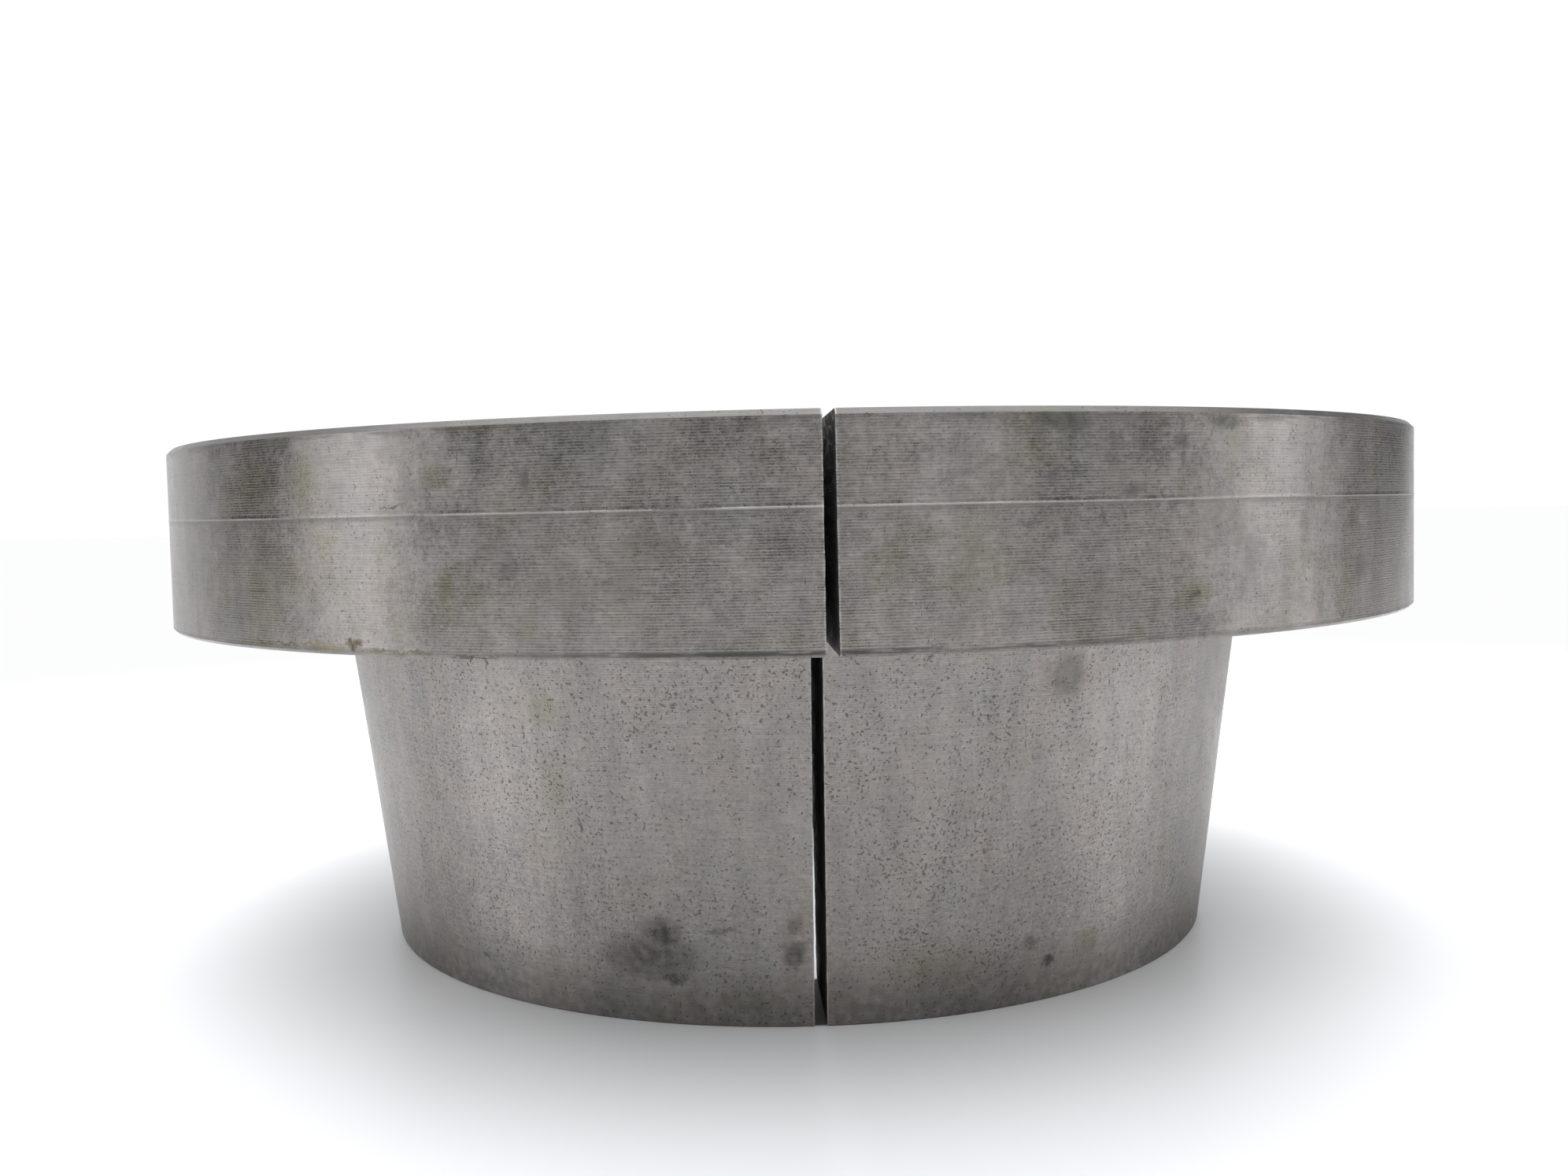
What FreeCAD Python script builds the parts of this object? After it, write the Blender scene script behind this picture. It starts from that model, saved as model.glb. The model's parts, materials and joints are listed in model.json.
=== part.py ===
import FreeCAD, Part
import math
import os
import Sketcher

# Flanged split taper bushing with its key set screw.
# Frame: Z is the bore axis, z = 0 is the face of the small end and +Z runs to the flange.
# The saw slit faces -Y. The keyseat and the key set screw lie opposite to it, at +Y.
# All lengths are in millimetres.

DIMENSIONS = {
    "flange_diameter": 158.75,
    "flange_thickness": 21.0,
    "barrel_length": 40.9,
    "barrel_root_diameter": 118.3,
    "taper_on_diameter": 0.25,
    "bore_diameter": 76.2,
    "rim_chamfer": 0.55,
    "underside_chamfer": 0.3,
    "small_end_chamfer": 0.15,
    "bore_chamfer": 0.8,
    "root_fillet": 0.8,
    # fine ridge left between the two turning passes over the rim
    "ridge_height_on_rim": 12.8,
    "ridge_width": 0.3,
    "ridge_rise": 0.08,
    # saw slit, a little wider at the small end and cut slightly off the radial direction (degrees)
    "slit_flange_width": 1.08,
    "slit_small_end_width": 1.32,
    "slit_skew": 0.78,
    # square key, let in by half its height
    "key_width": 19.05,
    "keyseat_depth": 9.525,
    # flange holes: 7/16 in cap screws and 7/16-14 jack screws
    "bolt_circle_diameter": 138.1,
    "clearance_hole_diameter": 12.0,
    "jack_hole_diameter": 11.2,
    "hole_chamfer": 0.6,
    # 3/8-16 socket set screw with a cup point
    "set_screw_diameter": 9.52,
    "set_screw_hole_diameter": 9.6,
    "set_screw_length": 25.4,
    "set_screw_chamfer": 0.9,
    "set_screw_point_length": 1.6,
    "cup_diameter": 5.2,
    "cup_depth": 1.3,
    "socket_width": 4.78,
    "socket_depth": 7.0,
}
CLEARANCE_HOLES = 4
JACK_HOLES = 2

TOTAL_LENGTH = "(Sheet.barrel_length + Sheet.flange_thickness)"
RIM_RADIUS = "Sheet.flange_diameter / 2"
BORE_RADIUS = "Sheet.bore_diameter / 2"
SMALL_END_RADIUS = "(Sheet.barrel_root_diameter - Sheet.taper_on_diameter * Sheet.barrel_length) / 2"
RIDGE_HEIGHT = "(Sheet.barrel_length + Sheet.ridge_height_on_rim)"
KEYSEAT_CEILING = "(sqrt((Sheet.bore_diameter / 2)^2 - (Sheet.key_width / 2)^2) + Sheet.keyseat_depth)"
RIM_MIDDLE = "(Sheet.barrel_length + Sheet.flange_thickness / 2)"

HORIZONTAL_AXIS = -1
VERTICAL_AXIS = -2
ORIGIN_POINT = (-1, 1)


def make_sheet(doc):
    """Write the driving dimensions to a spreadsheet, one aliased cell each."""
    sheet = doc.addObject("Spreadsheet::Sheet", "Sheet")
    for row, (name, value) in enumerate(DIMENSIONS.items(), start=1):
        sheet.set("A%d" % row, name)
        sheet.set("B%d" % row, str(value))
        sheet.setAlias("B%d" % row, name)
    doc.recompute()
    return sheet


def origin_feature(body, role):
    """Return one of the body's own origin planes or axes."""
    return next(item for item in body.Origin.OriginFeatures if item.Role == role)


def new_sketch(body, name, plane):
    """Add a sketch to the body on one of its origin planes."""
    sketch = body.newObject("Sketcher::SketchObject", name)
    sketch.AttachmentSupport = [(origin_feature(body, plane), "")]
    sketch.MapMode = "FlatFace"
    return sketch


def bind(sketch, kind, *arguments):
    """Add a dimension to the sketch: its geometry, a starting value and its expression."""
    *geometry, value, expression = arguments
    index = sketch.addConstraint(Sketcher.Constraint(kind, *geometry, value))
    sketch.setExpression("Constraints[%d]" % index, expression)


def draw_outline(sketch, corners):
    """Draw a closed outline through corners, each an (across, up) pair of expressions.

    An expression of None puts that corner on the sketch's own axis.
    """
    count = len(corners)
    # the lines start on a plain polygon; the dimensions then pull the corners into place
    start = [FreeCAD.Vector(10 + index, 10 + index * index, 0) for index in range(count)]
    for index in range(count):
        sketch.addGeometry(Part.LineSegment(start[index], start[(index + 1) % count]), False)
    for index in range(count):
        following = (index + 1) % count
        sketch.addConstraint(Sketcher.Constraint("Coincident", index, 2, following, 1))
    for index, (across, up) in enumerate(corners):
        if across is None:
            sketch.addConstraint(Sketcher.Constraint("PointOnObject", index, 1, VERTICAL_AXIS))
        else:
            bind(sketch, "DistanceX", *ORIGIN_POINT, index, 1, start[index].x, across)
        if up is None:
            sketch.addConstraint(Sketcher.Constraint("PointOnObject", index, 1, HORIZONTAL_AXIS))
        else:
            bind(sketch, "DistanceY", *ORIGIN_POINT, index, 1, start[index].y, up)


def draw_trapezium(sketch, base_width, top_width, top_height):
    """Draw a trapezium that stands on the horizontal axis and is centred on the vertical one."""
    left, right, high = -1.0, 1.0, 5.0
    corners = [
        FreeCAD.Vector(left, 0, 0),
        FreeCAD.Vector(right, 0, 0),
        FreeCAD.Vector(right, high, 0),
        FreeCAD.Vector(left, high, 0),
    ]
    for index in range(4):
        sketch.addGeometry(Part.LineSegment(corners[index], corners[(index + 1) % 4]), False)
    for index in range(4):
        sketch.addConstraint(Sketcher.Constraint("Coincident", index, 2, (index + 1) % 4, 1))
    base, top = 0, 2
    sketch.addConstraint(Sketcher.Constraint("Symmetric", base, 1, base, 2, VERTICAL_AXIS))
    sketch.addConstraint(Sketcher.Constraint("Symmetric", top, 1, top, 2, VERTICAL_AXIS))
    sketch.addConstraint(Sketcher.Constraint("PointOnObject", base, 1, HORIZONTAL_AXIS))
    bind(sketch, "DistanceX", base, 1, base, 2, right - left, base_width)
    bind(sketch, "DistanceX", top, 2, top, 1, right - left, top_width)
    bind(sketch, "DistanceY", *ORIGIN_POINT, top, 1, high, top_height)


def draw_circle(sketch, across, up, diameter):
    """Draw a circle from expressions; None puts its centre on that axis."""
    start = FreeCAD.Vector(0 if across is None else 5, 0 if up is None else 5, 0)
    sketch.addGeometry(Part.Circle(start, FreeCAD.Vector(0, 0, 1), 2), False)
    if across is None:
        sketch.addConstraint(Sketcher.Constraint("PointOnObject", 0, 3, VERTICAL_AXIS))
    else:
        bind(sketch, "DistanceX", *ORIGIN_POINT, 0, 3, start.x, across)
    if up is None:
        sketch.addConstraint(Sketcher.Constraint("PointOnObject", 0, 3, HORIZONTAL_AXIS))
    else:
        bind(sketch, "DistanceY", *ORIGIN_POINT, 0, 3, start.y, up)
    bind(sketch, "Diameter", 0, 4, diameter)


def draw_hexagon(sketch, width_across_flats):
    """Draw a hexagon about the origin, with one corner on the horizontal axis."""
    sides = 6
    ring = sketch.addGeometry(Part.Circle(FreeCAD.Vector(), FreeCAD.Vector(0, 0, 1), 3), True)
    sketch.addConstraint(Sketcher.Constraint("Coincident", ring, 3, *ORIGIN_POINT))
    turn = FreeCAD.Rotation(FreeCAD.Vector(0, 0, 1), 360 / sides)
    corner = FreeCAD.Vector(3, 0, 0)
    first = ring + 1
    for _ in range(sides):
        following = turn.multVec(corner)
        sketch.addGeometry(Part.LineSegment(corner, following), False)
        corner = following
    for index in range(sides):
        side = first + index
        sketch.addConstraint(Sketcher.Constraint("Coincident", side, 2, first + (index + 1) % sides, 1))
        sketch.addConstraint(Sketcher.Constraint("PointOnObject", side, 1, ring))
        if index:
            sketch.addConstraint(Sketcher.Constraint("Equal", first, side))
    sketch.addConstraint(Sketcher.Constraint("PointOnObject", first, 1, HORIZONTAL_AXIS))
    bind(sketch, "Diameter", ring, 6, "2 * %s / sqrt(3)" % width_across_flats)


def revolve(body, name, sketch):
    """Turn the sketch once round the vertical axis of its plane."""
    feature = body.newObject("PartDesign::Revolution", name)
    feature.Profile = sketch
    feature.ReferenceAxis = (sketch, ["V_Axis"])
    feature.Angle = 360
    return feature


def cut(body, name, sketch, reverse, depth=None):
    """Pocket the sketch to a depth, or right through when no depth is given."""
    feature = body.newObject("PartDesign::Pocket", name)
    feature.Profile = sketch
    feature.Reversed = reverse
    if depth is None:
        feature.Type = "ThroughAll"
    else:
        feature.Type = "Length"
        feature.setExpression("Length", depth)
    return feature


def repeat_round_axis(body, name, feature, count):
    """Repeat a pocket evenly round the bore axis."""
    pattern = body.newObject("PartDesign::PolarPattern", name)
    pattern.Originals = [feature]
    pattern.Axis = (origin_feature(body, "Z_Axis"), [""])
    pattern.Angle = 360
    pattern.Occurrences = count
    body.Tip = pattern
    return pattern


def edges_where(feature, test):
    """Name the feature's circular edges that pass the test."""
    names = []
    for number, edge in enumerate(feature.Shape.Edges, start=1):
        if isinstance(edge.Curve, Part.Circle) and test(edge.Curve):
            names.append("Edge%d" % number)
    return names


def is_close(first, second):
    return abs(first - second) < 1e-4


def make_bushing_body(doc):
    """Flange, tapered barrel and bore turned in one piece, then drilled, keyseated and slit."""
    body = doc.addObject("PartDesign::Body", "bushing_body")
    section = new_sketch(body, "half_section", "XZ_Plane")
    draw_outline(section, [
        (BORE_RADIUS + " + Sheet.bore_chamfer", None),
        (SMALL_END_RADIUS + " - Sheet.small_end_chamfer", None),
        (SMALL_END_RADIUS, "Sheet.small_end_chamfer"),
        ("Sheet.barrel_root_diameter / 2", "Sheet.barrel_length"),
        (RIM_RADIUS + " - Sheet.underside_chamfer", "Sheet.barrel_length"),
        (RIM_RADIUS, "Sheet.barrel_length + Sheet.underside_chamfer"),
        (RIM_RADIUS, RIDGE_HEIGHT + " - Sheet.ridge_width / 2"),
        (RIM_RADIUS + " + Sheet.ridge_rise", RIDGE_HEIGHT),
        (RIM_RADIUS, RIDGE_HEIGHT + " + Sheet.ridge_width / 2"),
        (RIM_RADIUS, TOTAL_LENGTH + " - Sheet.rim_chamfer"),
        (RIM_RADIUS + " - Sheet.rim_chamfer", TOTAL_LENGTH),
        (BORE_RADIUS + " + Sheet.bore_chamfer", TOTAL_LENGTH),
        (BORE_RADIUS, TOTAL_LENGTH + " - Sheet.bore_chamfer"),
        (BORE_RADIUS, "Sheet.bore_chamfer"),
    ])
    blank = revolve(body, "turned_blank", section)
    doc.recompute()

    root_radius = DIMENSIONS["barrel_root_diameter"] / 2
    barrel_length = DIMENSIONS["barrel_length"]
    root_edges = edges_where(blank, lambda circle: is_close(circle.Radius, root_radius)
                             and is_close(circle.Center.z, barrel_length))
    fillet = body.newObject("PartDesign::Fillet", "barrel_root_fillet")
    fillet.Base = (blank, root_edges)
    fillet.setExpression("Radius", "Sheet.root_fillet")

    clearance_sketch = new_sketch(body, "clearance_hole_sketch", "XY_Plane")
    diagonal = "Sheet.bolt_circle_diameter / 2 / sqrt(2)"
    draw_circle(clearance_sketch, diagonal, diagonal, "Sheet.clearance_hole_diameter")
    clearance_hole = cut(body, "clearance_hole", clearance_sketch, reverse=True)
    doc.recompute()
    repeat_round_axis(body, "clearance_holes", clearance_hole, CLEARANCE_HOLES)

    jack_sketch = new_sketch(body, "jack_hole_sketch", "XY_Plane")
    draw_circle(jack_sketch, "Sheet.bolt_circle_diameter / 2", None, "Sheet.jack_hole_diameter")
    jack_hole = cut(body, "jack_hole", jack_sketch, reverse=True)
    doc.recompute()
    drilled = repeat_round_axis(body, "jack_holes", jack_hole, JACK_HOLES)
    doc.recompute()

    hole_radii = (DIMENSIONS["clearance_hole_diameter"] / 2, DIMENSIONS["jack_hole_diameter"] / 2)
    mouths = edges_where(drilled, lambda circle: any(is_close(circle.Radius, radius) for radius in hole_radii))
    countersink = body.newObject("PartDesign::Chamfer", "hole_countersinks")
    countersink.Base = (drilled, mouths)
    countersink.setExpression("Size", "Sheet.hole_chamfer")
    doc.recompute()

    keyseat_sketch = new_sketch(body, "keyseat_sketch", "XY_Plane")
    draw_trapezium(keyseat_sketch, "Sheet.key_width", "Sheet.key_width", KEYSEAT_CEILING)
    cut(body, "keyseat", keyseat_sketch, reverse=True)

    radial_sketch = new_sketch(body, "set_screw_hole_sketch", "XZ_Plane")
    draw_circle(radial_sketch, None, RIM_MIDDLE, "Sheet.set_screw_hole_diameter")
    cut(body, "set_screw_hole", radial_sketch, reverse=False)

    slit_sketch = new_sketch(body, "slit_sketch", "XZ_Plane")
    draw_trapezium(slit_sketch, "Sheet.slit_small_end_width", "Sheet.slit_flange_width", TOTAL_LENGTH)
    skew = DIMENSIONS["slit_skew"]
    # the skewed cut still opens at -Y on the barrel, so its plane passes beside the bore axis
    aside = root_radius * math.sin(math.radians(skew))
    slit_sketch.AttachmentOffset = FreeCAD.Placement(
        FreeCAD.Vector(-aside, 0, 0), FreeCAD.Rotation(FreeCAD.Vector(0, 1, 0), skew))
    cut(body, "saw_slit", slit_sketch, reverse=True)
    doc.recompute()
    print("hole mouths countersunk: %d, root edges filleted: %d" % (len(mouths), len(root_edges)))
    return body


def make_key_set_screw(doc):
    """Cup-point socket set screw, drawn along its own Z axis from the socket end to the point."""
    body = doc.addObject("PartDesign::Body", "key_set_screw")
    radius = "Sheet.set_screw_diameter / 2"
    section = new_sketch(body, "screw_half_section", "XZ_Plane")
    draw_outline(section, [
        (None, None),
        (radius + " - Sheet.set_screw_chamfer", None),
        (radius, "Sheet.set_screw_chamfer"),
        (radius, "Sheet.set_screw_length - Sheet.set_screw_point_length"),
        (radius + " - Sheet.set_screw_point_length", "Sheet.set_screw_length"),
        ("Sheet.cup_diameter / 2", "Sheet.set_screw_length"),
        (None, "Sheet.set_screw_length - Sheet.cup_depth"),
    ])
    revolve(body, "screw_blank", section)
    socket_sketch = new_sketch(body, "socket_sketch", "XY_Plane")
    draw_hexagon(socket_sketch, "Sheet.socket_width")
    cut(body, "hexagon_socket", socket_sketch, reverse=True, depth="Sheet.socket_depth")
    # the screw lies along -Y with its cup point level with the keyseat's ceiling
    body.Placement = FreeCAD.Placement(FreeCAD.Vector(), FreeCAD.Rotation(FreeCAD.Vector(1, 0, 0), 90))
    body.setExpression("Placement.Base.y", KEYSEAT_CEILING + " + Sheet.set_screw_length")
    body.setExpression("Placement.Base.z", RIM_MIDDLE)
    doc.recompute()
    return body


def check_document(doc):
    """Stop on any failed object."""
    for item in doc.Objects:
        if "Invalid" in item.State or "Error" in item.State:
            raise RuntimeError("%s did not recompute: %s" % (item.Name, item.State))


def check_cuts(body):
    """Stop where a feature that should remove metal removes none."""
    volume = None
    for item in body.Group:
        if item.isDerivedFrom("Sketcher::SketchObject"):
            continue
        removed = 0 if volume is None else volume - item.Shape.Volume
        print("%-22s %-24s volume %12.1f  removed %10.1f"
              % (item.Name, item.TypeId, item.Shape.Volume, removed))
        if volume is not None and item.TypeId != "PartDesign::Fillet" and removed <= 0:
            raise RuntimeError("%s removes nothing" % item.Name)
        volume = item.Shape.Volume


def main():
    doc = FreeCAD.newDocument("taper_bushing")
    make_sheet(doc)
    pieces = [make_bushing_body(doc), make_key_set_screw(doc)]
    doc.recompute()
    check_document(doc)
    os.makedirs("parts", exist_ok=True)
    for piece in pieces:
        check_cuts(piece)
        if piece.Shape.isNull() or not piece.Shape.isValid():
            raise RuntimeError("%s is not a valid solid" % piece.Label)
        box = piece.Shape.BoundBox
        print("%s: %.2f x %.2f x %.2f, from z %.2f, solids %d"
              % (piece.Label, box.XLength, box.YLength, box.ZLength, box.ZMin, len(piece.Shape.Solids)))
        piece.Shape.exportStep("parts/%s.step" % piece.Label)


main()
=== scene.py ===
"""Flanged split taper bushing: the finished pieces, their surfaces and a plain studio round them."""

import json
import math

import bmesh
import bpy
from bpy.props import FloatProperty, FloatVectorProperty, IntProperty, PointerProperty
from mathutils import Matrix, Vector, noise


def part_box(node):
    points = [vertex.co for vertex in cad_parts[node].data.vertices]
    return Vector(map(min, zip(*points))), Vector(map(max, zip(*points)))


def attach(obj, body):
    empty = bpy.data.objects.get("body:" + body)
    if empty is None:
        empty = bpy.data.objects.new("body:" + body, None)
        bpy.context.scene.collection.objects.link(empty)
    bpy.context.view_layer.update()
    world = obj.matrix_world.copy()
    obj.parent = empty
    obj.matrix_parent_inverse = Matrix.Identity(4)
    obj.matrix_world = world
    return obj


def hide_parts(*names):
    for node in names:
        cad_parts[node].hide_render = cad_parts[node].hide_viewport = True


bl_info = {
    "name": "Flanged Taper Bushing",
    "version": (1, 0, 0),
    "blender": (4, 5, 0),
    "location": "View3D > Sidebar > Bushing",
    "description": "Builds a flanged split taper bushing with its key set screw on its packed frame",
    "category": "Object",
}

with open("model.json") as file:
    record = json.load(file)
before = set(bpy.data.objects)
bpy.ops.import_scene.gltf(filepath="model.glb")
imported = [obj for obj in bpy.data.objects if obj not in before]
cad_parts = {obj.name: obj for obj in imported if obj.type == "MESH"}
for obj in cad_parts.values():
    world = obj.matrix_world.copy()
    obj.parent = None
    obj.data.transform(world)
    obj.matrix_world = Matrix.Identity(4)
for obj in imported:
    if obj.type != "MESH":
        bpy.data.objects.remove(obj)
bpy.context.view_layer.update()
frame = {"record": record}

MM = 0.001
INCH = 0.0254
MOUNTS = {mount["name"]: mount for mount in frame["record"]["mounts"]}
BODY_LOW, BODY_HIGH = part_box("bushing_body")
SCREW_LOW, SCREW_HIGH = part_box("key_set_screw")
UP = Vector((0, 0, 1))
SPARE = 1.0 * MM  # how far a cutter reaches past what it cuts
RIDGE_GAP = (-38, -26)  # stretch of the rim, in degrees from the slit, where the ridge is worn away


# ---------------------------------------------------------------------------
# Sizes and colours
# ---------------------------------------------------------------------------

def length(name, description, default):
    """A length property in metres."""
    return FloatProperty(name=name, description=description, default=default,
                         unit="LENGTH", precision=5)


def turn(name, description, degrees):
    """An angle property, given in degrees."""
    return FloatProperty(name=name, description=description, default=math.radians(degrees),
                         unit="ROTATION")


def amount(name, description, default):
    """A plain number property."""
    return FloatProperty(name=name, description=description, default=default, precision=3)


def colour(name, description, default):
    """A linear colour property."""
    return FloatVectorProperty(name=name, description=description, default=default,
                               subtype="COLOR", size=3, min=0, max=1)


class BushingBodySizes(bpy.types.PropertyGroup):
    """Sizes of the turned, drilled and sawn body."""

    rim_radius: length("Rim radius", "Radius of the flange's rim", 6.25 * INCH / 2)
    root_radius: length("Root radius", "Barrel radius under the flange", 59.15 * MM)
    taper: amount("Taper", "Loss of barrel radius for each unit of length", 0.125)
    bore_radius: length("Bore radius", "Radius of the shaft bore",
                        MOUNTS["shaft_bore"]["dims"]["r_mm"] * MM)
    barrel_length: length("Barrel length", "From the small end to the flange",
                          MOUNTS["flange_underside"]["pos_m"][2])
    total_length: length("Total length", "From the small end to the flange's face", BODY_HIGH.z)
    rim_chamfer: length("Rim chamfer", "Chamfer round the flange's face", 0.55 * MM)
    underside_chamfer: length("Underside chamfer", "Chamfer round the flange's underside", 0.3 * MM)
    small_end_chamfer: length("Small end chamfer", "Chamfer round the small end", 0.15 * MM)
    bore_chamfer: length("Bore chamfer", "Chamfer at both mouths of the bore", 0.8 * MM)
    root_fillet: length("Root fillet", "Fillet between barrel and flange", 0.8 * MM)
    ridge_height: length("Ridge height", "Height of the witness ridge on the rim", 53.7 * MM)
    ridge_width: length("Ridge width", "Width of the witness ridge", 0.3 * MM)
    ridge_rise: length("Ridge rise", "How far the witness ridge stands out", 0.08 * MM)
    slit_top_width: length("Slit width at the flange", "Saw slit at the flange's face", 1.08 * MM)
    slit_low_width: length("Slit width at the small end", "Saw slit at the small end", 1.32 * MM)
    slit_skew: turn("Slit skew", "Angle between the saw slit and the radial direction", 0.78)
    slit_roughness: length("Slit roughness", "How uneven the sawn walls are", 0.045 * MM)
    support: length("Edge support", "Distance of the shading loops beside an edge", 0.12 * MM)
    keyseat_ceiling: length("Keyseat ceiling", "From the bore axis to the keyseat's ceiling",
                            MOUNTS["keyseat"]["pos_m"][1])
    key_width: length("Key width", "Width of the keyseat", 0.75 * INCH)
    bolt_circle_radius: length("Bolt circle radius", "Radius of the circle of flange holes",
                               MOUNTS["flange_screws"]["dims"]["pcd_mm"] * MM / 2)
    clearance_radius: length("Clearance hole radius", "Radius of the cap screw holes",
                             MOUNTS["flange_screws"]["dims"]["hole_r_mm"] * MM)
    jack_radius: length("Jack hole radius", "Major radius of the tapped jack screw holes",
                        MOUNTS["jack_screws"]["dims"]["hole_r_mm"] * MM)
    jack_pitch: length("Jack thread pitch", "Fourteen threads to the inch", INCH / 14)
    countersink: length("Countersink", "Chamfer at the mouths of the flange holes", 0.6 * MM)
    screw_hole_radius: length("Set screw hole radius", "Crest radius of the set screw's tapping", 4.8 * MM)
    screw_hole_chamfer: length("Set screw hole chamfer", "Chamfer at the mouth of that hole", 0.5 * MM)
    screw_thread_depth: length("Set screw hole thread", "Depth of the thread in that hole", 0.35 * MM)
    thread_overlap: length("Thread overlap", "How far a thread cutter starts inside its hole", 0.15 * MM)
    steps: IntProperty(name="Steps", description="Facets in one turn of the body", default=360, min=90)


class SetScrewSizes(bpy.types.PropertyGroup):
    """Sizes of the cup-point socket set screw."""

    radius: length("Radius", "Crest radius of the thread", (SCREW_HIGH.x - SCREW_LOW.x) / 2)
    length: length("Length", "Overall length", SCREW_HIGH.y - SCREW_LOW.y)
    pitch: length("Pitch", "Sixteen threads to the inch", INCH / 16)
    thread_depth: length("Thread depth", "Depth of the thread", 0.85 * MM)
    chamfer: length("Chamfer", "Chamfer at the socket end", 0.9 * MM)
    point_length: length("Point length", "Length of the tapered point", 1.6 * MM)
    cup_radius: length("Cup radius", "Radius of the cup's biting edge", 2.6 * MM)
    cup_depth: length("Cup depth", "Depth of the cup", 1.3 * MM)
    socket_width: length("Socket width", "Hexagon socket across its flats", 4.78 * MM)
    socket_depth: length("Socket depth", "Depth of the hexagon socket", 7.0 * MM)
    socket_chamfer: length("Socket chamfer", "Bevel at the socket's mouth", 0.35 * MM)
    pilot_depth: length("Pilot depth", "Wall of the drilled pilot below the socket", 0.2 * MM)
    pilot_point: length("Pilot point", "Tip of the drilled pilot below the socket", 1.4 * MM)


class FinishColours(bpy.types.PropertyGroup):
    """Colours and textures of the metal."""

    warm_steel: colour("Warm steel", "Turned steel where it is warmest", (0.346, 0.315, 0.297))
    cool_steel: colour("Cool steel", "Turned steel where it is bluest", (0.316, 0.301, 0.290))
    # edges rubbed bright, also used as a painted highlight on the ridge's crest and along the edges of the
    # slit
    worn_edge: colour("Worn edge", "Edges rubbed bright", (0.62, 0.60, 0.58))
    olive_oil: colour("Olive oil", "Old oil film", (0.175, 0.165, 0.072))
    rust_brown: colour("Rust brown", "Dried rust and oil", (0.075, 0.042, 0.018))
    # also darkens the foot of the barrel, a band just under the ridge and the rim's upper chamfer
    soot: colour("Soot", "Dark handling grime", (0.058, 0.060, 0.054))
    # the slit's walls: a duller sawn finish, darkened as painted shade of the narrow slit
    sawn_steel: colour("Sawn steel", "Walls of the slit", (0.085, 0.082, 0.078))
    black_oxide: colour("Black oxide", "Set screw", (0.045, 0.045, 0.050))
    feed: length("Turning feed", "Distance between turning marks", 0.254 * MM)
    groove_depth: length("Groove depth", "Depth of the turning marks", 0.0055 * MM)
    roughness: amount("Roughness", "Roughness of the clean turned metal", 0.30)
    barrel_roughness: amount("Barrel roughness", "Extra roughness of the barrel", 0.12)
    # the share by which the rim's colour is darkened all round
    rim_film: amount("Rim film", "How much handling has darkened the rim", 0.18)
    face_film: amount("Face film", "How much handling has darkened the flat faces", 0.30)
    anisotropy: amount("Anisotropy", "How much the turning marks stretch a highlight", 0.75)


class StudioSettings(bpy.types.PropertyGroup):
    """Camera, floor and light."""

    camera_distance: length("Camera distance", "From the bore axis", 200.3 * MM)
    camera_height: length("Camera height", "Above the floor", 53.4 * MM)
    camera_azimuth: turn("Camera azimuth", "Turn of the camera round the part, away from the slit", 2.25)
    camera_heading: turn("Camera heading", "Turn of the view away from the bore axis", 0.31)
    camera_pitch: turn("Camera pitch", "Downward tilt of the view", 3.09)
    camera_roll: turn("Camera roll", "Lean of the view", -1.26)
    camera_lens: amount("Lens", "Focal length in millimetres on a 36 mm wide sensor", 33.07)
    floor_size: length("Floor size", "Side of the floor", 12.0)
    floor_colour: colour("Floor colour", "Pale matt floor", (0.90, 0.905, 0.915))
    # painted shade: a dark ring on the floor under the barrel wall, hidden by the body except where the
    # slit shows it
    floor_oil: colour("Floor oil", "Oily ring under the barrel wall", (0.03, 0.027, 0.02))
    glow_strength: amount("Floor glow", "Brightness of the floor far from the body", 0.93)
    glow_start: length("Glow start", "Distance at which the floor starts to glow", 0.14)
    glow_end: length("Glow end", "Distance at which the glow is full", 0.42)
    backdrop_strength: amount("Backdrop strength", "Brightness of the surroundings", 1.0)


# ---------------------------------------------------------------------------
# Mesh work
# ---------------------------------------------------------------------------

def spin_outline(outline, steps, closed=True):
    """Turn an outline of (radius, height) points once round Z into a closed skin."""
    bm = bmesh.new()
    verts = [bm.verts.new((radius, 0, height)) for radius, height in outline]
    pairs = zip(verts, verts[1:] + verts[:1]) if closed else zip(verts, verts[1:])
    edges = [bm.edges.new(pair) for pair in pairs]
    bmesh.ops.spin(bm, geom=verts + edges, cent=(0, 0, 0), axis=UP, angle=math.tau,
                   steps=steps, use_merge=True)
    bmesh.ops.remove_doubles(bm, verts=bm.verts, dist=1e-7)
    bmesh.ops.recalc_face_normals(bm, faces=bm.faces)
    return bm


def helix(base_radius, crest_radius, pitch, start, end, steps_per_turn=40):
    """A closed V-shaped strip wound round Z, wide at base_radius and narrow at crest_radius."""
    turns = (end - start) / pitch
    steps = int(turns * steps_per_turn)
    wide, narrow = 0.45 * pitch, 0.07 * pitch
    section = [
        (base_radius, -wide), (base_radius, wide),
        (crest_radius, narrow), (crest_radius, -narrow),
    ]
    bm = bmesh.new()
    verts = [bm.verts.new((radius, 0, start + height)) for radius, height in section]
    first = bm.faces.new(verts)
    edges = list(first.edges)
    wound = bmesh.ops.spin(bm, geom=verts + edges, cent=(0, 0, 0), axis=UP,
                           angle=math.tau * turns, dvec=(0, 0, (end - start) / steps), steps=steps)
    last = [item for item in wound["geom_last"] if isinstance(item, bmesh.types.BMEdge)]
    bmesh.ops.contextual_create(bm, geom=last)
    bmesh.ops.triangulate(bm, faces=bm.faces)
    bmesh.ops.recalc_face_normals(bm, faces=bm.faces)
    return bm


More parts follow.
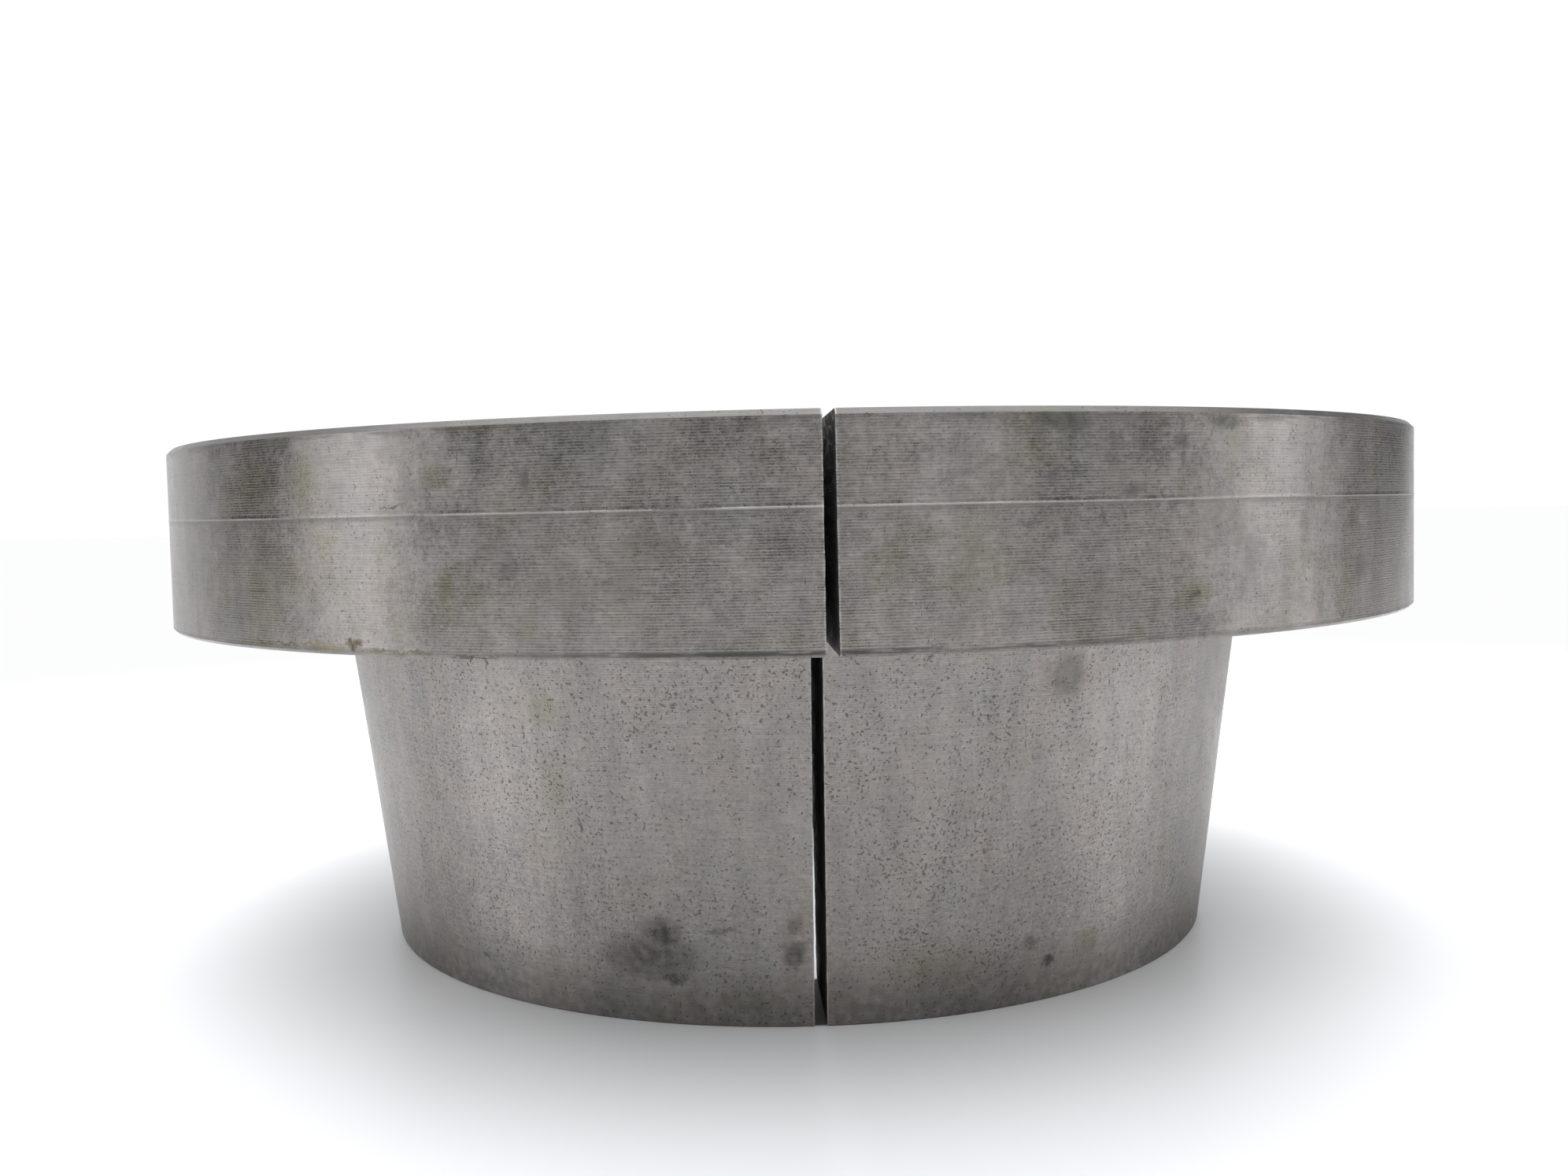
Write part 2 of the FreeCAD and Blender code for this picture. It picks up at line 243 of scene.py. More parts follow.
def drill(radius, low, high, countersink, steps=72):
    """A cutter for a through hole with a 45 degree chamfer at both mouths."""
    flare = radius + countersink + SPARE
    return spin_outline([
        (0, low - SPARE), (flare, low - SPARE), (radius, low + countersink),
        (radius, high - countersink), (flare, high + SPARE), (0, high + SPARE),
    ], steps, closed=False)


def place(bm, matrix):
    """Move a mesh under construction."""
    bmesh.ops.transform(bm, matrix=matrix, verts=bm.verts)
    return bm


def to_object(bm, name):
    """Turn a mesh under construction into a scene object."""
    mesh = bpy.data.meshes.new(name)
    bm.to_mesh(mesh)
    bm.free()
    piece = bpy.data.objects.new(name, mesh)
    bpy.context.scene.collection.objects.link(piece)
    return piece


def carve(piece, cutter_bm):
    """Cut a closed mesh out of a piece."""
    cutter = to_object(cutter_bm, "cutter")
    modifier = piece.modifiers.new("carve", "BOOLEAN")
    modifier.operation = "DIFFERENCE"
    modifier.solver = "EXACT"
    modifier.object = cutter
    bpy.context.view_layer.update()
    evaluated = piece.evaluated_get(bpy.context.evaluated_depsgraph_get())
    carved = bpy.data.meshes.new_from_object(evaluated)
    piece.modifiers.clear()
    former = piece.data
    piece.data = carved
    carved.name = piece.name
    bpy.data.meshes.remove(former)
    waste = cutter.data
    bpy.data.objects.remove(cutter)
    bpy.data.meshes.remove(waste)


def finish_mesh(piece, sharp_angle):
    """Shade the piece smooth between its sharp edges, and stop if its skin isn't closed."""
    mesh = piece.data
    bm = bmesh.new()
    bm.from_mesh(mesh)
    bmesh.ops.dissolve_degenerate(bm, dist=1e-7, edges=bm.edges)
    open_edges = [edge for edge in bm.edges if len(edge.link_faces) != 2]
    faces = len(bm.faces)
    bm.to_mesh(mesh)
    bm.free()
    print("%s: %d faces, %d open edges" % (piece.name, faces, len(open_edges)))
    if open_edges:
        raise RuntimeError("%s: %d edges don't join two faces" % (piece.name, len(open_edges)))
    mesh.shade_smooth()
    mesh.set_sharp_from_angle(angle=sharp_angle)


def arc(centre, radius, start_degrees, end_degrees, segments):
    """Points along a circular arc, as (radius, height) pairs."""
    points = []
    for index in range(segments + 1):
        angle = math.radians(start_degrees + (end_degrees - start_degrees) * index / segments)
        points.append((centre[0] + radius * math.cos(angle), centre[1] + radius * math.sin(angle)))
    return points


def barrel_radius(sizes, height):
    """Radius of the tapered barrel at a height above the small end."""
    return sizes.root_radius - sizes.taper * (sizes.barrel_length - height)


def body_outline(sizes):
    """Half section of the turned blank, anticlockwise from the bore at the small end."""
    bore, mouth = sizes.bore_radius, sizes.bore_chamfer
    rim, small = sizes.rim_radius, barrel_radius(sizes, 0)
    under, top = sizes.barrel_length, sizes.total_length
    fillet, support = sizes.root_fillet, sizes.support
    ridge, half_ridge = sizes.ridge_height, sizes.ridge_width / 2
    root_start = under - fillet
    root = arc((barrel_radius(sizes, root_start) + fillet, root_start), fillet, 180, 90, 5)
    return [
        (bore + mouth, 0),
        (small - sizes.small_end_chamfer, 0),
        (small, sizes.small_end_chamfer),
        (barrel_radius(sizes, root_start - support), root_start - support),
        *root,
        (root[-1][0] + support, under),
        (rim - sizes.underside_chamfer, under),
        (rim, under + sizes.underside_chamfer),
        (rim, ridge - half_ridge - support),
        (rim, ridge - half_ridge),
        (rim + sizes.ridge_rise, ridge),
        (rim, ridge + half_ridge),
        (rim, ridge + half_ridge + support),
        (rim, top - sizes.rim_chamfer),
        (rim - sizes.rim_chamfer, top),
        (bore + mouth, top),
        (bore, top - mouth),
        (bore, mouth),
    ]


def break_up_ridge(bm, sizes):
    """Let the crest of the witness ridge rise and fade round the rim."""
    waves_per_turn = 12
    least, usual, change, in_gap = 0.3, 0.58, 0.5, 0.25
    for vert in bm.verts:
        radius = vert.co.xy.length
        if radius > sizes.rim_radius + sizes.ridge_rise / 2:
            degrees = math.degrees(math.atan2(vert.co.x, -vert.co.y))
            around = vert.co.xy.normalized() * waves_per_turn
            level = usual + change * noise.noise(Vector((around.x, around.y, 0.3)))
            level = min(1.0, max(least, level))
            if RIDGE_GAP[0] < degrees < RIDGE_GAP[1]:
                level *= in_gap
            vert.co.xy *= (sizes.rim_radius + sizes.ridge_rise * level) / radius


def slit_cutter(sizes):
    """The saw's path: a wedge, a little uneven, turned slightly off the radial direction."""
    near, far = -sizes.bore_radius * 0.8, -sizes.rim_radius - 2 * SPARE
    low, high = -SPARE, sizes.total_length + SPARE
    ripple_along, ripple_up = 4 * MM, 1.6 * MM
    bm = bmesh.new()
    bmesh.ops.create_cube(bm, size=1)
    bmesh.ops.scale(bm, vec=(1, near - far, high - low), verts=bm.verts)
    bmesh.ops.translate(bm, vec=(0, (near + far) / 2, (low + high) / 2), verts=bm.verts)
    for axis, cuts in ((2, 90), (1, 24)):
        along = [edge for edge in bm.edges
                 if abs((edge.verts[0].co - edge.verts[1].co)[axis]) > SPARE]
        bmesh.ops.subdivide_edges(bm, edges=along, cuts=cuts, use_grid_fill=True)
    for vert in bm.verts:
        side = math.copysign(1, vert.co.x)
        share = vert.co.z / sizes.total_length
        half = (sizes.slit_low_width * (1 - share) + sizes.slit_top_width * share) / 2
        spot = Vector((side * 7, vert.co.y / ripple_along, vert.co.z / ripple_up))
        waver = noise.noise(spot) + 0.5 * noise.noise(spot * 2.7)
        vert.co.x = side * half + sizes.slit_roughness * waver
    bmesh.ops.rotate(bm, cent=(0, -sizes.root_radius, 0),
                     matrix=Matrix.Rotation(sizes.slit_skew, 3, "Z"), verts=bm.verts)
    bmesh.ops.triangulate(bm, faces=bm.faces)
    bmesh.ops.recalc_face_normals(bm, faces=bm.faces)
    return bm


def keyseat_cutter(sizes):
    """A broach's path along the whole bore."""
    low, high = -SPARE, sizes.total_length + SPARE
    bm = bmesh.new()
    bmesh.ops.create_cube(bm, size=1)
    bmesh.ops.scale(bm, vec=(sizes.key_width, sizes.keyseat_ceiling, high - low), verts=bm.verts)
    bmesh.ops.translate(bm, vec=(0, sizes.keyseat_ceiling / 2, (low + high) / 2), verts=bm.verts)
    return bm


def round_the_axis(radius, degrees):
    """A place on the bolt circle."""
    return Matrix.Rotation(math.radians(degrees), 4, "Z") @ Matrix.Translation((radius, 0, 0))


def radial_frame(height):
    """Turns a cutter made along Z so that it lies along +Y at this height."""
    return Matrix.Translation((0, 0, height)) @ Matrix.Rotation(math.radians(-90), 4, "X")


# ---------------------------------------------------------------------------
# Shader expressions
# ---------------------------------------------------------------------------

class Wire:
    """A shader socket that takes Python arithmetic."""

    def __init__(self, graph, socket):
        self.graph = graph
        self.socket = socket

    def work(self, operation, *values):
        """Add a Math node."""
        return self.graph.node("ShaderNodeMath", {"operation": operation}, *values)

    def __add__(self, other):
        return self.work("ADD", self, other)

    def __radd__(self, other):
        return self.work("ADD", other, self)

    def __sub__(self, other):
        return self.work("SUBTRACT", self, other)

    def __rsub__(self, other):
        return self.work("SUBTRACT", other, self)

    def __mul__(self, other):
        return self.work("MULTIPLY", self, other)

    def __rmul__(self, other):
        return self.work("MULTIPLY", other, self)

    def __neg__(self):
        return self.work("MULTIPLY", self, -1.0)

    def __abs__(self):
        return self.work("ABSOLUTE", self)

    def sine(self):
        return self.work("SINE", self)

    def angle_from(self, other):
        """Arc tangent of this over other, in radians."""
        return self.work("ARCTAN2", self, other)

    def most(self, other):
        """The larger of two values."""
        return self.work("MAXIMUM", self, other)

    def ramp(self, low, high):
        """0 below low, 1 above high and smooth between; it falls instead when low is the larger."""
        settings = {"interpolation_type": "SMOOTHSTEP", "clamp": True}
        if low < high:
            return self.graph.node("ShaderNodeMapRange", settings, self, low, high, 0.0, 1.0)
        return self.graph.node("ShaderNodeMapRange", settings, self, high, low, 1.0, 0.0)

    def band(self, start, full, fade, end):
        """Rises from start to full, and falls again from fade to end."""
        return self.ramp(start, full) - self.ramp(fade, end)


class Graph:
    """The nodes of one material or world."""

    def __init__(self, block, shader_name="Principled BSDF"):
        block.use_nodes = True
        self.tree = block.node_tree
        self.shader = self.tree.nodes[shader_name]

    def node(self, kind, settings=None, *values, output=0, numbered=None, **named):
        """Add a node: its settings first, then the values or links of its sockets.

        Sockets are filled in order, by number or by name.
        """
        item = self.tree.nodes.new(kind)
        for key, value in (settings or {}).items():
            setattr(item, key, value)
        filled = {**dict(enumerate(values)), **(numbered or {})}
        filled.update((key.replace("_", " "), value) for key, value in named.items())
        for key, value in filled.items():
            self.feed(item.inputs[key], value)
        return Wire(self, item.outputs[output])

    def feed(self, socket, value):
        """Link a wire to a socket, or set the socket's own value; a colour is made opaque."""
        if isinstance(value, Wire):
            self.tree.links.new(value.socket, socket)
        elif socket.type == "RGBA":
            socket.default_value = (*value[:3], 1.0)
        else:
            socket.default_value = value

    def mix(self, factor, first, second):
        """Blend two colours."""
        return self.node("ShaderNodeMix", {"data_type": "RGBA"}, factor,
                         numbered={6: first, 7: second}, output=2)

    def blend(self, factor, first, second):
        """Blend two numbers."""
        return self.node("ShaderNodeMix", {}, factor, numbered={2: first, 3: second})

    def vector(self, operation, *values, output=0):
        """Add a Vector Math node."""
        return self.node("ShaderNodeVectorMath", {"operation": operation}, *values, output=output)

    def axes(self, value):
        """The X, Y and Z of a vector."""
        first = self.node("ShaderNodeSeparateXYZ", {}, value)
        return [Wire(self, socket) for socket in first.socket.node.outputs]

    def in_mm(self):
        """The place on the piece, in millimetres."""
        where = self.node("ShaderNodeTexCoord", output="Object")
        return self.node("ShaderNodeVectorMath", {"operation": "SCALE"}, where, Scale=1 / MM)

    def noise(self, where, scale, detail=2.0, roughness=0.5):
        """Noise in three directions."""
        return self.node("ShaderNodeTexNoise", {}, Vector=where, Scale=scale, Detail=detail,
                         Roughness=roughness)

    def noise_along(self, value, scale, detail=2.0, roughness=0.5):
        """Noise that depends on one number only, for turning streaks."""
        return self.node("ShaderNodeTexNoise", {"noise_dimensions": "1D"}, W=value, Scale=scale,
                         Detail=detail, Roughness=roughness)

    def set(self, **values):
        """Set or link the shader's own sockets."""
        for key, value in values.items():
            self.feed(self.shader.inputs[key.replace("_", " ")], value)


# Marks left on the body. Each one has its direction from the slit in degrees, its height, its half
# width and half height in millimetres, its lean in degrees and its strength.
OIL_MARKS = {
    "run along the lower edge": (-36, 41.6, 3.6, 0.5, 0, 1.0),
    "thin run beyond it": (-43, 41.6, 6.5, 0.25, 0, 0.8),
    "thin run towards the slit": (-29, 41.3, 4.5, 0.25, 0, 0.7),
    "upper left patch": (-25.5, 57, 1.7, 1.2, 0, 0.6),
    "green spot on the left": (-25, 47, 1.0, 1.8, 0, 0.85),
    "pale spot on the left": (-19, 43.5, 1.0, 1.6, 0, 0.5),
    "film at the top edge": (-22.5, 61.1, 4.5, 0.4, 0, 0.8),
    "left side": (-43.5, 57, 4.5, 3.2, 0, 0.55),
    "lower left side": (-43, 46, 4.0, 5.0, 0, 0.35),
    "slanted streak on the left": (-37.5, 57, 2.4, 2.6, 20, 0.6),
    "spot on the right": (25, 45, 2.2, 1.3, -20, 0.85),
    "run at the lower right": (20.5, 42.1, 0.5, 0.9, -40, 0.9),
    "bright band": (9, 49, 1.5, 5.0, 0, 0.35),
    "barrel foot, left": (-7.5, 3.1, 3.8, 1.4, 0, 0.6),
    "barrel foot, right": (13, 5.8, 5.5, 2.8, 0, 0.6),
    "barrel foot, far right": (33, 5.5, 1.6, 1.8, -40, 0.7),
    "barrel top, left": (-29, 33.5, 2.6, 2.2, 0, 0.6),
    "barrel middle, left": (-28.5, 25, 2.0, 4.2, 0, 0.4),
}
GRIME_MARKS = {
    "oval print": (-19, 56.6, 0.55, 1.2, 0, 0.8),
    "top edge right of the slit": (15, 60.6, 3.3, 1.0, 8, 0.9),
    "small blot": (18.7, 58.8, 0.7, 0.6, 0, 0.7),
    "large blot": (24, 58.8, 0.9, 0.8, 0, 1.0),
    "its tail": (24, 57.3, 0.35, 1.2, 0, 0.7),
    "top edge further right": (28, 60.6, 2.6, 0.7, 0, 0.8),
    "smudge on the ridge": (20, 54.4, 1.2, 0.8, 15, 0.8),
    "slanted smear": (14.5, 56.2, 1.4, 0.35, -38, 0.7),
    "long slanted smear": (9, 56.6, 4.0, 0.35, -22, 0.4),
    "drip under the ridge": (17.7, 52.5, 0.35, 1.0, 0, 0.7),
    "scuff under the ridge": (12.8, 52, 1.3, 0.3, 0, 0.6),
    "spot in the oil": (25, 45, 0.45, 0.5, 0, 1.0),
    "speck in the lower corner": (25.3, 42.9, 0.45, 0.4, 0, 0.7),
    "speck at the lower edge": (41, 41.9, 0.38, 0.38, 0, 1.0),
    "cloud on the right": (44, 46.4, 1.8, 1.4, 0, 0.6),
    "cloud on the upper left": (-11, 50.5, 3.2, 1.4, 0, 0.3),
    "three specks over the ridge": (-29, 54.5, 1.6, 0.14, 0, 1.0),
    "speck on the ridge": (-27, 53.6, 0.55, 0.25, -30, 0.9),
    "edge specks on the left": (-23, 41.1, 3.0, 0.14, 0, 1.0),
    "drip on the barrel": (-35.7, 37.9, 0.16, 0.6, 0, 1.0),
    "speck on the barrel": (-38, 38.1, 0.32, 0.28, 0, 1.0),
    "thumb print": (-17.3, 9.8, 2.5, 2.0, 0, 1.0),
    "wide cloud below it": (-18.5, 7.2, 5.6, 2.8, 0, 0.8),
    "dark edge of the cloud": (-16.2, 5, 1.7, 0.9, 0, 1.0),
    "blot by the slit": (-2.8, 7.9, 1.3, 1.6, 0, 0.95),
    "blot above it": (-2.7, 10.9, 1.0, 1.1, 0, 0.5),
    "foot speck on the right": (27, 4.3, 0.9, 0.8, 0, 1.0),
    "foot smudge on the right": (24.5, 6.8, 1.0, 0.9, 0, 0.6),
    "dash on the left": (-42, 4.6, 0.9, 0.32, 0, 1.0),
    "tail of the dash": (-47, 4.5, 3.4, 0.3, 0, 0.5),
    "brown dash": (-10.5, 10.4, 1.6, 0.32, 0, 0.6),
    "barrel smudge under the flange": (27, 35.5, 2.6, 2.6, -30, 0.5),
}
RUST_MARKS = {
    "dried drop": (-33, 41.95, 1.25, 0.5, 0, 1.0),
    "brown line beyond it": (-41, 41.65, 5.5, 0.12, 0, 0.7),
    "brown line towards the slit": (-29, 41.35, 4.0, 0.1, 0, 0.6),
}


def marks(graph, place_mm, table, sizes):
    """One mask for a table of marks, each a soft ellipse lying on the outer surface."""
    depth_mm = 6.0
    total = None
    for degrees, height, half_width, half_height, lean, strength in table.values():
        angle = math.radians(degrees)
        on_flange = height * MM > sizes.barrel_length
        radius = (sizes.rim_radius if on_flange else barrel_radius(sizes, height * MM)) / MM
        centre = (radius * math.sin(angle), -radius * math.cos(angle), height)
        local = graph.node("ShaderNodeMapping", {"vector_type": "TEXTURE"}, place_mm, centre,
                           (0, math.radians(lean), angle), (half_width, depth_mm, half_height))
        distance = graph.vector("LENGTH", local, output="Value")
        mask = distance.ramp(1.4, 0.3) * strength
        total = mask if total is None else total.most(mask)
    return total


def turned_steel(colours, sizes):
    """Satin turned steel with turning marks, pits, oil and grime."""
    material = bpy.data.materials.new("turned_steel")
    graph = Graph(material)
    place_mm = graph.in_mm()
    across, forward, height = graph.axes(place_mm)
    sideways, _, upright = graph.axes(graph.node("ShaderNodeTexCoord", output="Normal"))
    radius = graph.vector("LENGTH", graph.vector("MULTIPLY", place_mm, (1, 1, 0)), output="Value")
    bore, rim_radius = sizes.bore_radius / MM, sizes.rim_radius / MM
    under, top, ridge = sizes.barrel_length / MM, sizes.total_length / MM, sizes.ridge_height / MM
    end_face = abs(upright).ramp(0.72, 0.95)
    outside = radius.ramp(bore + 3.9, bore + 7.9)
    rim = radius.ramp(rim_radius - 1.2, rim_radius - 0.8) * (1 - end_face)
    barrel = height.ramp(under + 0.1, under - 0.3) * outside * (1 - end_face)

    # turning marks follow the height on round walls and the radius on end faces
    along = graph.blend(end_face, height, radius)
    groove = (along * (math.tau * MM / colours.feed)).sine()
    ring_lines = graph.noise_along(along, 2.6, 5.0, 0.75) - 0.5
    drawn_out = graph.node("ShaderNodeCombineXYZ", {}, across * 0.42, forward * 0.42, along * 4.2)
    streaks = graph.noise(drawn_out, 1.0, 3.0, 0.7) - 0.5

    # tone of the bare metal, from broad clouds down to a fine grain
    cloud = graph.noise(place_mm, 0.065, 3.0, 0.6) - 0.5
    mottle = graph.noise(place_mm, 0.33, 5.0, 0.72) - 0.5
    speckle = graph.noise(place_mm, 2.2, 3.0, 0.8) - 0.5
    leaning = graph.node("ShaderNodeMapping", {}, place_mm, (3.0, 0.0, 0.0),
                         (0.0, math.radians(38), 0.0), (0.55, 0.4, 0.09))
    smears = graph.noise(leaning, 1.0, 4.0, 0.65) - 0.5
    tint = graph.noise(place_mm, 0.16, 4.0, 0.65)
    base = graph.mix(tint.ramp(0.38, 0.66), colours.warm_steel, colours.cool_steel)
    mottle_share = 0.80 - 0.25 * barrel
    speckle_share = 0.90 + 0.5 * barrel
    tone_level = (1.0 + 0.50 * cloud + mottle_share * mottle + speckle_share * speckle
                  + 0.48 * smears + 0.42 * streaks + 0.22 * ring_lines + 0.03 * groove)
    # the rim is darkened all round and the flat faces by handling; ring lines show on the faces
    darkening_level = (1.0 - colours.rim_film * rim - colours.face_film * end_face
                     + 0.6 * end_face * ring_lines)
    tone = graph.node("ShaderNodeHueSaturation", {}, Color=base, Value=tone_level * darkening_level)

    # oil and grime have ragged outlines
    ragged = graph.node("ShaderNodeTexNoise", {}, Vector=place_mm, Scale=0.8, Detail=4.0,
                        Roughness=0.7, output="Color")
    centred = graph.vector("SUBTRACT", ragged, (0.5, 0.5, 0.5))
    warped = graph.vector("ADD", place_mm, graph.vector("MULTIPLY", centred, (2.4, 2.4, 2.0)))
    blotch = graph.noise(place_mm, 1.1, 5.0, 0.75).ramp(0.32, 0.62)
    oil = marks(graph, warped, OIL_MARKS, sizes) * (0.45 + 0.55 * blotch)
    film = graph.noise(place_mm, 0.12, 5.0, 0.7).ramp(0.50, 0.72)
    film = film.most(height.ramp(9.0, 1.0) * blotch)
    oil = oil.most(film * outside * (0.26 + 0.20 * rim))
    tone = graph.mix(oil * 0.62, tone, colours.olive_oil)

    # dirt gathers against the rim's edges; the colour is also darker along the foot of the barrel, in a
    # band just under the ridge and on the rim's upper chamfer
    grime = marks(graph, warped, GRIME_MARKS, sizes) * (0.4 + 0.6 * blotch)
    foot = height.ramp(8.5, 0.2) * outside * (0.35 + 0.65 * blotch)
    under_ridge = height.band(ridge - 0.75, ridge - 0.2, ridge - 0.16, ridge - 0.04) * rim
    lower_edge = height.band(under + 0.16, under + 0.3, under + 0.5, under + 0.8) * rim
    upper_edge = height.band(top - 1.6, top - 0.8, top - 0.7, top - 0.6) * rim
    chamfer = height.ramp(top - 0.62, top - 0.54) * rim
    broken = graph.noise(drawn_out, 0.35, 3.0, 0.6)
    centre_band = abs(across - 2.0).ramp(30.0, 12.0) * forward.ramp(0.0, -5.0)
    handled = graph.noise(place_mm, 0.11, 6.0, 0.72).ramp(0.50, 0.68) * rim * blotch
    grime = grime.most(foot * 0.6).most(under_ridge * 0.35).most(handled * 0.30)
    grime = grime.most(lower_edge * broken.ramp(0.34, 0.52) * (0.35 + 0.65 * centre_band))
    grime = grime.most(upper_edge * broken.ramp(0.40, 0.60) * 0.45)
    grime = grime.most(chamfer * 0.6)
    rust = marks(graph, warped, RUST_MARKS, sizes) * (0.6 + 0.4 * blotch)
    tone = graph.mix(grime * 0.9, tone, colours.soot)
    tone = graph.mix(rust * 0.95, tone, colours.rust_brown)

    # small dark pits, thick on the barrel and sparse on the rim
    where_pitted = graph.noise(place_mm, 0.10, 2.0, 0.5)
    pit_noise = (graph.noise(place_mm, 3.3, 1.0, 0.5) + 0.20 * (where_pitted - 0.5)
                 - 0.06 * (1 - barrel))
    pits = pit_noise.ramp(0.64, 0.695) * outside
    tone = graph.mix(pits * 0.6, tone, colours.soot)

    # the ridge's crest and the edges of the slit are lightened: partly rubbed wear, partly a painted
    # highlight where these edges catch the light
    slit_share = height * (MM / sizes.total_length)
    slit_half = graph.blend(slit_share, sizes.slit_low_width / MM / 2, sizes.slit_top_width / MM / 2)
    slit_centre = (forward + sizes.root_radius / MM) * -math.tan(sizes.slit_skew)
    from_slit = abs(across - slit_centre) - slit_half
    in_front = forward.ramp(2.1 - bore, 0.1 - bore)
    lip_wear_and_highlight = from_slit.band(-0.06, -0.02, 0.05, 0.20) * in_front * outside
    crest = height.band(ridge - 0.08, ridge, ridge + 0.08, ridge + 0.18) * rim
    worn = (lip_wear_and_highlight * blotch).most(crest * 0.35)
    tone = graph.mix(worn * 0.5, tone, colours.worn_edge)

    # the sawn walls are duller, and their colour is darkened as painted shade of the narrow slit
    sawn = from_slit.ramp(0.12, 0.06) * in_front * abs(sideways).ramp(0.6, 0.9)
    tone = graph.mix(sawn * 0.95, tone, colours.sawn_steel)

    roughness = (colours.roughness + colours.barrel_roughness * barrel + 0.16 * grime - 0.08 * oil
                 - 0.12 * rust + 0.20 * cloud + 0.35 * mottle + 0.38 * speckle + 0.45 * sawn)
    relief = (groove * (colours.groove_depth / MM / 2) + ring_lines * 0.012 + streaks * 0.014
              - pits * 0.03 + speckle * 0.012)
    bump = graph.node("ShaderNodeBump", {}, Strength=1.0, Distance=MM, Height=relief, output="Normal")
    graph.set(Base_Color=tone, Metallic=1.0 - 0.35 * grime - 0.5 * rust - 0.85 * sawn,
              Roughness=roughness, Normal=bump, Anisotropic=colours.anisotropy,
              Anisotropic_Rotation=0.25, Specular_Tint=(0.78, 0.78, 0.78))
    return material


def black_oxide(colours):
    """Black oxide with bright wear."""
    material = bpy.data.materials.new("black_oxide_steel")
    graph = Graph(material)
    place_mm = graph.in_mm()
    speckle = graph.noise(place_mm, 3.5, 4.0, 0.7)
    cloud = graph.noise(place_mm, 0.6, 3.0, 0.6)
    worn = speckle.ramp(0.60, 0.78) * cloud.ramp(0.40, 0.70)
    tone = graph.mix(worn * 0.6, colours.black_oxide, colours.cool_steel)
    tone = graph.mix(cloud.ramp(0.55, 0.8) * 0.3, tone, colours.rust_brown)
    relief = (speckle - 0.5) * 0.03
    bump = graph.node("ShaderNodeBump", {}, Strength=0.6, Distance=MM, Height=relief, output="Normal")
    graph.set(Base_Color=tone, Metallic=0.9, Roughness=0.38 + 0.2 * speckle, Normal=bump)
    return material


# Soft upright panels of light. Each one has its direction to the right of the front in degrees, its
# half width and soft edge in degrees, and its strength.
PANELS = {
    "broad, on the left": (-80, 8, 6, 2.1),
    "broad, on the right": (87, 7, 10, 1.95),
    "narrow, right of the slit": (29, 3, 6, 0.55),
}


def floor_finish(studio, sizes):
    """Pale matt floor, brighter with distance so that it meets the backdrop, with a dark ring of painted
    shade under the barrel wall.
    """
    material = bpy.data.materials.new("pale_floor")
    graph = Graph(material)
    where = graph.node("ShaderNodeTexCoord", output="Object")
    mottle = graph.noise(where, 14.0, 3.0, 0.5)
    pale = tuple(studio.floor_colour)
    dull = tuple(channel * 0.96 for channel in pale)
    paper = graph.mix(mottle, dull, pale)
    reach = graph.vector("LENGTH", where, output="Value")
    # painted shade: the floor is darkened in a ring under the barrel wall, where the slit shows it
    inner, outer, fade = sizes.bore_radius + 1 * MM, barrel_radius(sizes, 0) - 0.6 * MM, 0.5 * MM
    under_wall_shade = reach.ramp(inner - fade, inner) * reach.ramp(outer + fade, outer)
    graph.set(Base_Color=graph.mix(under_wall_shade * 0.92, paper, studio.floor_oil), Roughness=0.42)
    white = graph.node("ShaderNodeEmission", {}, Color=(1.0, 1.0, 1.0), Strength=studio.glow_strength)
    far_away = reach.ramp(studio.glow_start, studio.glow_end)
    joined = graph.node("ShaderNodeMixShader", {}, far_away * 0.9,
                        Wire(graph, graph.shader.outputs[0]), white)
    output = graph.tree.nodes["Material Output"]
    graph.feed(output.inputs["Surface"], joined)
    return material


# ---------------------------------------------------------------------------
# Operators
# ---------------------------------------------------------------------------

class BUSHING_OT_body(bpy.types.Operator):
    """Build the flanged, bored, drilled and sawn bushing body"""

    bl_idname = "bushing.body"
    bl_label = "Bushing body"

    def execute(self, context):
        sizes = context.scene.bushing_body_sizes
        blank = spin_outline(body_outline(sizes), sizes.steps)
        break_up_ridge(blank, sizes)
        body = to_object(blank, "turned_body")
        under, top = sizes.barrel_length, sizes.total_length
        pitch_circle = sizes.bolt_circle_radius

        for index in range(MOUNTS["flange_screws"]["dims"]["count"]):
            hole = drill(sizes.clearance_radius, under, top, sizes.countersink)
            carve(body, place(hole, round_the_axis(pitch_circle, 45 + 90 * index)))

        minor = sizes.jack_radius - 0.5 * sizes.jack_pitch
        mouth = sizes.jack_radius + sizes.countersink - minor
        for degrees in (0, 180):
            spot = round_the_axis(pitch_circle, degrees)
            carve(body, place(drill(minor, under, top, mouth), spot))
            thread = helix(minor - sizes.thread_overlap, sizes.jack_radius, sizes.jack_pitch,
                           under - 1.5 * sizes.jack_pitch, top + 1.5 * sizes.jack_pitch)
            carve(body, place(thread, spot))

        carve(body, keyseat_cutter(sizes))
        middle = (under + top) / 2
        crest = sizes.screw_hole_radius
        inner, outer = sizes.keyseat_ceiling, sizes.rim_radius
        hole = drill(crest, inner - 3 * SPARE, outer, sizes.screw_hole_chamfer)
        carve(body, place(hole, radial_frame(middle)))
        pitch = context.scene.set_screw_sizes.pitch
        thread = helix(crest - sizes.thread_overlap, crest + sizes.screw_thread_depth, pitch,
                       inner - pitch, outer + pitch)
        carve(body, place(thread, radial_frame(middle)))
        carve(body, slit_cutter(sizes))

        finish_mesh(body, math.radians(24))
        body.data.materials.clear()
        body.data.materials.append(turned_steel(context.scene.finish_colours, sizes))
        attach(body, "bushing")
        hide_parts("bushing_body")
        return {"FINISHED"}


